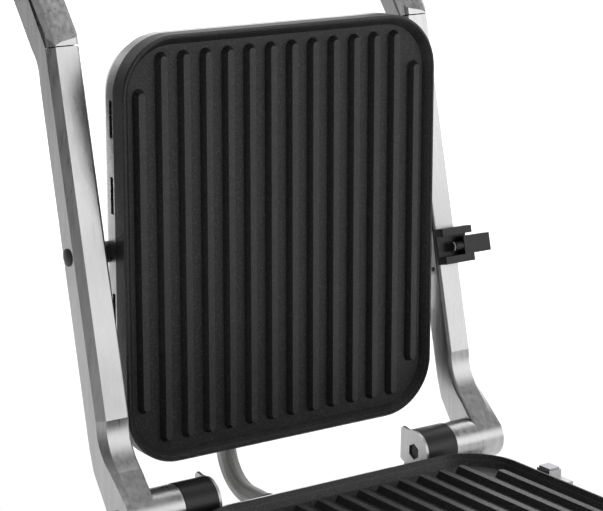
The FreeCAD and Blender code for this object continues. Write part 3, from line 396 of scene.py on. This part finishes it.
def conduit_path(start, end, steps):
    """Points and headings from the base's gland, round the bend and up into the hood; 0 to 1."""
    run_a = CONDUIT_Y - BEND_R - (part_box("conduit")[0].y + 5.0 * MM)
    run_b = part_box("conduit")[1].z - 0.5 * MM - (CONDUIT_Z + BEND_R)
    arc = BEND_R * math.pi / 2
    total = run_a + arc + run_b
    points = []
    for i in range(steps + 1):
        at = (start + (end - start) * i / steps) * total
        if at < run_a:
            y, z, turn = CONDUIT_Y - BEND_R - run_a + at, CONDUIT_Z, 0.0
        elif at < run_a + arc:
            turn = (at - run_a) / BEND_R
            y = CONDUIT_Y - BEND_R + BEND_R * math.sin(turn)
            z = CONDUIT_Z + BEND_R - BEND_R * math.cos(turn)
        else:
            y, z, turn = CONDUIT_Y, CONDUIT_Z + BEND_R + at - run_a - arc, math.pi / 2
        points.append((Vector((CONDUIT_X, y, z)), turn, at))
    return points


def sleeve(name, start, end, steps=48, ribs=26):
    """One length of the woven conduit, ribbed lengthwise."""
    sides = ribs * 4
    verts, faces, uvs = [], [], []
    for place, turn, at in conduit_path(start, end, steps):
        up = Vector((0, -math.sin(turn), math.cos(turn)))
        for j in range(sides + 1):
            angle = 2 * math.pi * j / sides
            rib = 0.5 + 0.5 * math.cos(angle * ribs)
            r = CONDUIT_R * (0.955 + 0.045 * rib)
            verts.append(place + Vector((1, 0, 0)) * (r * math.cos(angle)) + up * (r * math.sin(angle)))
            uvs.append((j / sides, at / 0.1))
    row = sides + 1
    for i in range(steps):
        for j in range(sides):
            faces.append((i * row + j, i * row + j + 1, (i + 1) * row + j + 1, (i + 1) * row + j))
    obj = put(name, verts, faces, BRAID, None, "braid_grey", 80.0)
    layer = obj.data.uv_layers.new(name="along")
    for loop in obj.data.loops:
        layer.data[loop.index].uv = uvs[loop.vertex_index]
    return obj


BRAID = braid()
lower_sleeve = sleeve("conduit_sleeve_low", 0.0, 0.56)
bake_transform(lower_sleeve)
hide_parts("conduit")
upper_sleeve = sleeve("conduit_sleeve_high", 0.54, 1.0)
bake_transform(upper_sleeve)
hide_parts("conduit")

# ------------------------------------------------------------------ controls

STEEL = FINISHES["pin_steel"]
BLACK = FINISHES["black_plastic"]
MARKS = moulded("printed_marks", (0.72, 0.72, 0.70), 0.5, 900.0, 0.1)
PANEL_LEAN = math.radians(14.0)
PANEL_N = Vector((0, -math.cos(PANEL_LEAN), math.sin(PANEL_LEAN)))
PANEL_U, PANEL_V, PANEL_N = basis(PANEL_N)
KNOB_MID = 8.5 * MM  # middle of a knob out from the panel's face
KNOB_FOOT = 1.0 * MM  # gap under a knob
KNOB_SIDE = 16.9 * MM  # radius that the grip ridges start from
RIDGES = 30
RIDGE_HALF = 0.75 * MM
RIDGE_LOW = -5.6 * MM
RIDGE_HIGH = 4.4 * MM
RIDGE_PROUD = 0.6 * MM
SCALE_IN = 19.2 * MM
SCALE_LONG = 21.6 * MM
SCALE_SHORT = 20.6 * MM
SCALE_HALF = 0.35 * MM
FIGURE_AT = 24.2 * MM
FIGURE_TALL = 4.2 * MM
PRINT_HIGH = 0.12 * MM
PRINT_EDGE = 0.05 * MM
BUTTON_PROUD = 2.6 * MM


def middle(node):
    low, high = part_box(node)
    return (low + high) / 2


def tick(centre, angle, r0, r1, half):
    """A raised printed bar on the panel, pointing away from a knob."""
    out = (math.cos(angle), math.sin(angle))
    side = (-out[1], out[0])
    outline = [(out[0] * r + side[0] * w, out[1] * r + side[1] * w)
               for r, w in ((r0, -half), (r1, -half), (r1, half), (r0, half))]
    return slab(outline, centre, PANEL_U, PANEL_V, PANEL_N, 0.0, PRINT_HIGH, PRINT_EDGE)


def bezel(inner, crest, outer, high):
    """Section of a rounded ring round a hole: its inner, crest and outer radius, and its height."""
    return [(inner, 0.0), (outer, 0.0), (outer - 0.2 * MM, 0.5 * MM), (crest, high), (inner, high - 0.1 * MM)]


def dial(node, body, start, sweep, marks, first):
    """Scale with numbers on the panel, grip ridges round the knob and a ring at its foot."""
    face = middle(node) - PANEL_N * KNOB_MID
    parts = []
    for i in range(marks):
        angle = math.radians(start) - math.radians(sweep) * i / (marks - 1)
        parts.append(tick(face, angle, SCALE_IN, SCALE_LONG if i % 2 == 0 else SCALE_SHORT, SCALE_HALF))
    put(node + "_scale", *joined(parts), MARKS, "base", "panel_black")
    for i in range(0, marks, 2):
        angle = math.radians(start) - math.radians(sweep) * i / (marks - 1)
        out = PANEL_U * math.cos(angle) + PANEL_V * math.sin(angle)
        number(node + "_figure_%d" % (i // 2), str(first + i // 2), face + out * FIGURE_AT)
    ridges = []
    for i in range(RIDGES):
        angle = 2 * math.pi * i / RIDGES
        out = PANEL_U * math.cos(angle) + PANEL_V * math.sin(angle)
        side = PANEL_N.cross(out)
        outline = [(-RIDGE_HALF, RIDGE_LOW), (RIDGE_HALF, RIDGE_LOW), (RIDGE_HALF, RIDGE_HIGH),
                   (-RIDGE_HALF, RIDGE_HIGH)]
        foot = middle(node) + out * KNOB_SIDE
        ridges.append(slab(outline, foot, side, PANEL_N, out, 0.0, RIDGE_PROUD, RIDGE_PROUD / 2))
    put(node + "_grip", *joined(ridges), BLACK, body, "black_plastic")
    low = KNOB_FOOT - KNOB_MID
    loop = [(17.0 * MM, low + 0.15 * MM), (17.9 * MM, low + 0.15 * MM), (18.1 * MM, low + 0.5 * MM),
            (17.9 * MM, low + 1.1 * MM), (17.0 * MM, low + 1.4 * MM)]
    put(node + "_foot_ring", *turned(loop, middle(node), PANEL_N, 64), STEEL, body, "pin_steel")


def number(name, text, centre):
    """A printed figure lying on the panel."""
    curve = bpy.data.curves.new(name, "FONT")
    curve.body = text
    curve.size = FIGURE_TALL
    curve.extrude = PRINT_EDGE
    curve.align_x = "CENTER"
    curve.align_y = "CENTER"
    holder = bpy.data.objects.new(name + "_text", curve)
    bpy.context.scene.collection.objects.link(holder)
    bpy.context.view_layer.update()
    mesh = bpy.data.meshes.new_from_object(holder)
    bpy.data.objects.remove(holder)
    turn = Matrix((PANEL_U, PANEL_V, PANEL_N)).transposed().to_4x4()
    mesh.transform(Matrix.Translation(centre + PANEL_N * PRINT_EDGE) @ turn)
    mesh.materials.clear()
    mesh.materials.append(MARKS)
    obj = bpy.data.objects.new(name, mesh)
    bpy.context.scene.collection.objects.link(obj)
    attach(obj, "base")


dial("thermostat_knob", "thermostat_dial", 225.0, 270.0, 11, 0)
dial("timer_knob", "timer_dial", 240.0, 300.0, 13, 0)
KNOB_FACE = middle("thermostat_knob") - PANEL_N * KNOB_MID


def on_panel(x):
    """Point on the control panel's face at a place along it."""
    return Vector((x, KNOB_FACE.y, KNOB_FACE.z))


for i, (low, high) in enumerate(islands("indicator_lamps")):
    ring = turned(bezel(3.6 * MM, 4.2 * MM, 5.2 * MM, 0.8 * MM), on_panel((low.x + high.x) / 2), PANEL_N)
    put("lamp_bezel_%d" % i, *ring, STEEL, "base", "pin_steel")
button_face = on_panel(0.0) + PANEL_N * BUTTON_PROUD
arc_mark = [(3.1 * MM, 0.0), (3.8 * MM, 0.0), (3.75 * MM, 0.1 * MM), (3.15 * MM, 0.1 * MM)]
put("power_ring_mark", *turned(arc_mark, button_face, PANEL_N), MARKS, "power_key", "panel_black")
bar = [(-0.35 * MM, 0.4 * MM), (0.35 * MM, 0.4 * MM), (0.35 * MM, 5.0 * MM), (-0.35 * MM, 5.0 * MM)]
bar_mark = slab(bar, button_face, PANEL_U, PANEL_V, PANEL_N, 0.0, PRINT_HIGH, PRINT_EDGE)
put("power_bar_mark", *bar_mark, MARKS, "power_key", "panel_black")
ring = turned(bezel(8.6 * MM, 9.4 * MM, 10.6 * MM, 0.9 * MM), on_panel(0.0), PANEL_N)
put("power_bezel", *ring, STEEL, "base", "pin_steel")

# ------------------------------------------------------------------ clip, hinges and screws

RING_FROM_SPRING = 5.4 * MM  # the ring's middle nearer the lid than the spring's
SOCKET_R = 6.0 * MM  # hexagon corners
SOCKET_DEEP = 1.4 * MM  # dark face behind the hinge plate's outer face
spring_mid = middle("clip_spring")
washer = [(2.6 * MM, -0.5 * MM), (4.1 * MM, -0.5 * MM), (4.3 * MM, 0.0), (4.1 * MM, 0.5 * MM),
          (2.6 * MM, 0.5 * MM)]
ring = turned(washer, spring_mid - Vector((RING_FROM_SPRING, 0, 0)), (1, 0, 0), 40)
put("clip_ring", *ring, STEEL, "height_clip", "pin_steel")
for side, name in ((1, "right"), (-1, "left")):
    low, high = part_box("hinge_cap_" + name)
    face_x = low.x if side > 0 else high.x
    pin_low, pin_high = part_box("hinge_pin_" + name)
    centre = Vector((face_x + side * SOCKET_DEEP, (pin_low.y + pin_high.y) / 2, (pin_low.z + pin_high.z) / 2))
    corners = [math.radians(30 + 60 * k) for k in range(6)]
    hexagon = [(math.cos(a) * SOCKET_R, math.sin(a) * SOCKET_R) for a in corners]
    u, v, n = Vector((0, 1, 0)), Vector((0, 0, 1)), Vector((-side, 0, 0))
    shade = slab(hexagon, centre, u, v, n, -0.6 * MM, 0.2 * MM, 0.1 * MM)
    put("hex_socket_shade_" + name, *shade, BLACK, "base", "black_plastic")


def recess_shade_cross(name, centre, normal, reach, body):
    """Raised dark cross painted as the shade in the driver recess of a screw head."""
    u, v, n = basis(normal)
    w = reach * 0.22
    outline = [(-w, -reach), (w, -reach), (w, -w), (reach, -w), (reach, w), (w, w), (w, reach), (-w, reach),
               (-w, w), (-reach, w), (-reach, -w), (-w, -w)]
    cross = slab(outline, centre, u, v, n, -0.1 * MM, 0.05 * MM, 0.02 * MM)
    put(name, *cross, BLACK, body, "black_plastic")


# painted shade: dark crosses stand for the shade inside the screw heads' driver recesses
for i, (low, high) in enumerate(islands("base_screws")):
    head = Vector(((low.x + high.x) / 2, (low.y + high.y) / 2, low.z))
    recess_shade_cross("base_screw_recess_%d" % i, head, (0, 0, -1), 2.0 * MM, "base")
for i, (low, high) in enumerate(islands("cover_screws")):
    head = Vector(((low.x + high.x) / 2, high.y, (low.z + high.z) / 2))
    reach = min(high.x - low.x, high.z - low.z) * 0.32
    recess_shade_cross("cover_screw_recess_%d" % i, head, (0, 1, 0), reach, "lid_head")

# ------------------------------------------------------------------ camera, floor and light


def studio():
    floor_mesh = bpy.data.meshes.new("floor")
    half = 14.0
    corners = [(-half, -half, 0), (half, -half, 0), (half, half, 0), (-half, half, 0)]
    floor_mesh.from_pydata(corners, [], [(0, 1, 2, 3)])
    floor = bpy.data.objects.new("floor", floor_mesh)
    floor.location.z = -0.2 * MM
    bpy.context.scene.collection.objects.link(floor)
    pale = Shader("floor_white", 0.9)
    pale.colour(pale.mix(pale.noise(2.0), (0.86, 0.86, 0.86), (0.90, 0.90, 0.90)))
    floor_mesh.materials.append(pale.mat)


def softbox(name, at, aim, size, power):
    lamp = bpy.data.lights.new(name, "AREA")
    lamp.shape = "RECTANGLE"
    lamp.size, lamp.size_y = size
    lamp.energy = power
    obj = bpy.data.objects.new(name, lamp)
    obj.location = at
    obj.rotation_euler = (Vector(aim) - Vector(at)).to_track_quat("-Z", "Y").to_euler()
    bpy.context.scene.collection.objects.link(obj)
    return obj


def sky():
    """Soft surroundings: a bright backdrop behind, a dim room to the left, a pale ceiling."""
    world = bpy.data.worlds.new("studio")
    bpy.context.scene.world = world
    world.use_nodes = True
    tree = world.node_tree
    direction = tree.nodes.new("ShaderNodeTexCoord").outputs["Generated"]
    level = None
    for axis, start, end, share in SKY_LOBES:
        dot = tree.nodes.new("ShaderNodeVectorMath")
        dot.operation = "DOT_PRODUCT"
        dot.inputs[1].default_value = Vector(axis).normalized()
        tree.links.new(direction, dot.inputs[0])
        lobe = tree.nodes.new("ShaderNodeMapRange")
        lobe.interpolation_type = "SMOOTHSTEP"
        for key, value in (("From Min", start), ("From Max", end), ("To Min", 0.0), ("To Max", share)):
            lobe.inputs[key].default_value = value
        tree.links.new(dot.outputs["Value"], lobe.inputs["Value"])
        total = tree.nodes.new("ShaderNodeMath")
        total.inputs[1].default_value = SKY_BASE
        if level is not None:
            tree.links.new(level, total.inputs[1])
        tree.links.new(lobe.outputs["Result"], total.inputs[0])
        level = total.outputs[0]
    tree.links.new(level, tree.nodes["Background"].inputs["Strength"])
    tree.nodes["Background"].inputs["Color"].default_value = (1.0, 1.0, 1.0, 1.0)


SKY_BASE = 0.10
# direction, cosine where the lobe starts and is full, added radiance
SKY_LOBES = (
    ((0.57, 0.82, 0.15), 0.35, 0.95, 1.25),
    ((0.0, 0.0, 1.0), 0.1, 0.9, 0.24),
    ((0.62, -0.78, 0.12), 0.80, 0.97, 1.7),
)


def light():
    sky()
    middle = (0.0, 0.15, 0.25)
    wash = softbox("floor_wash", (1.15, 2.5, 2.2), (1.15, 2.5, 0.0), (2.6, 4.2), 55.0)
    wash.data.spread = math.radians(70.0)
    softbox("overhead", (0.3, 0.6, 1.9), middle, (1.6, 1.2), 8.0)


def camera():
    data = bpy.data.cameras.new("camera")
    data.sensor_width = 36.0
    data.lens = 130.03
    data.clip_end = 60.0
    obj = bpy.data.objects.new("camera", data)
    bpy.context.scene.collection.objects.link(obj)
    azimuth = math.radians(-34.594)
    elevation = math.radians(13.563)
    obj.location = (-0.8223, -1.0067, 0.5840)
    away = Vector((-math.sin(azimuth) * math.cos(elevation), math.cos(azimuth) * math.cos(elevation),
                   -math.sin(elevation)))
    obj.rotation_euler = away.to_track_quat("-Z", "Y").to_euler()
    bpy.context.scene.camera = obj


studio()
light()
camera()
bpy.context.scene.view_settings.view_transform = "Standard"
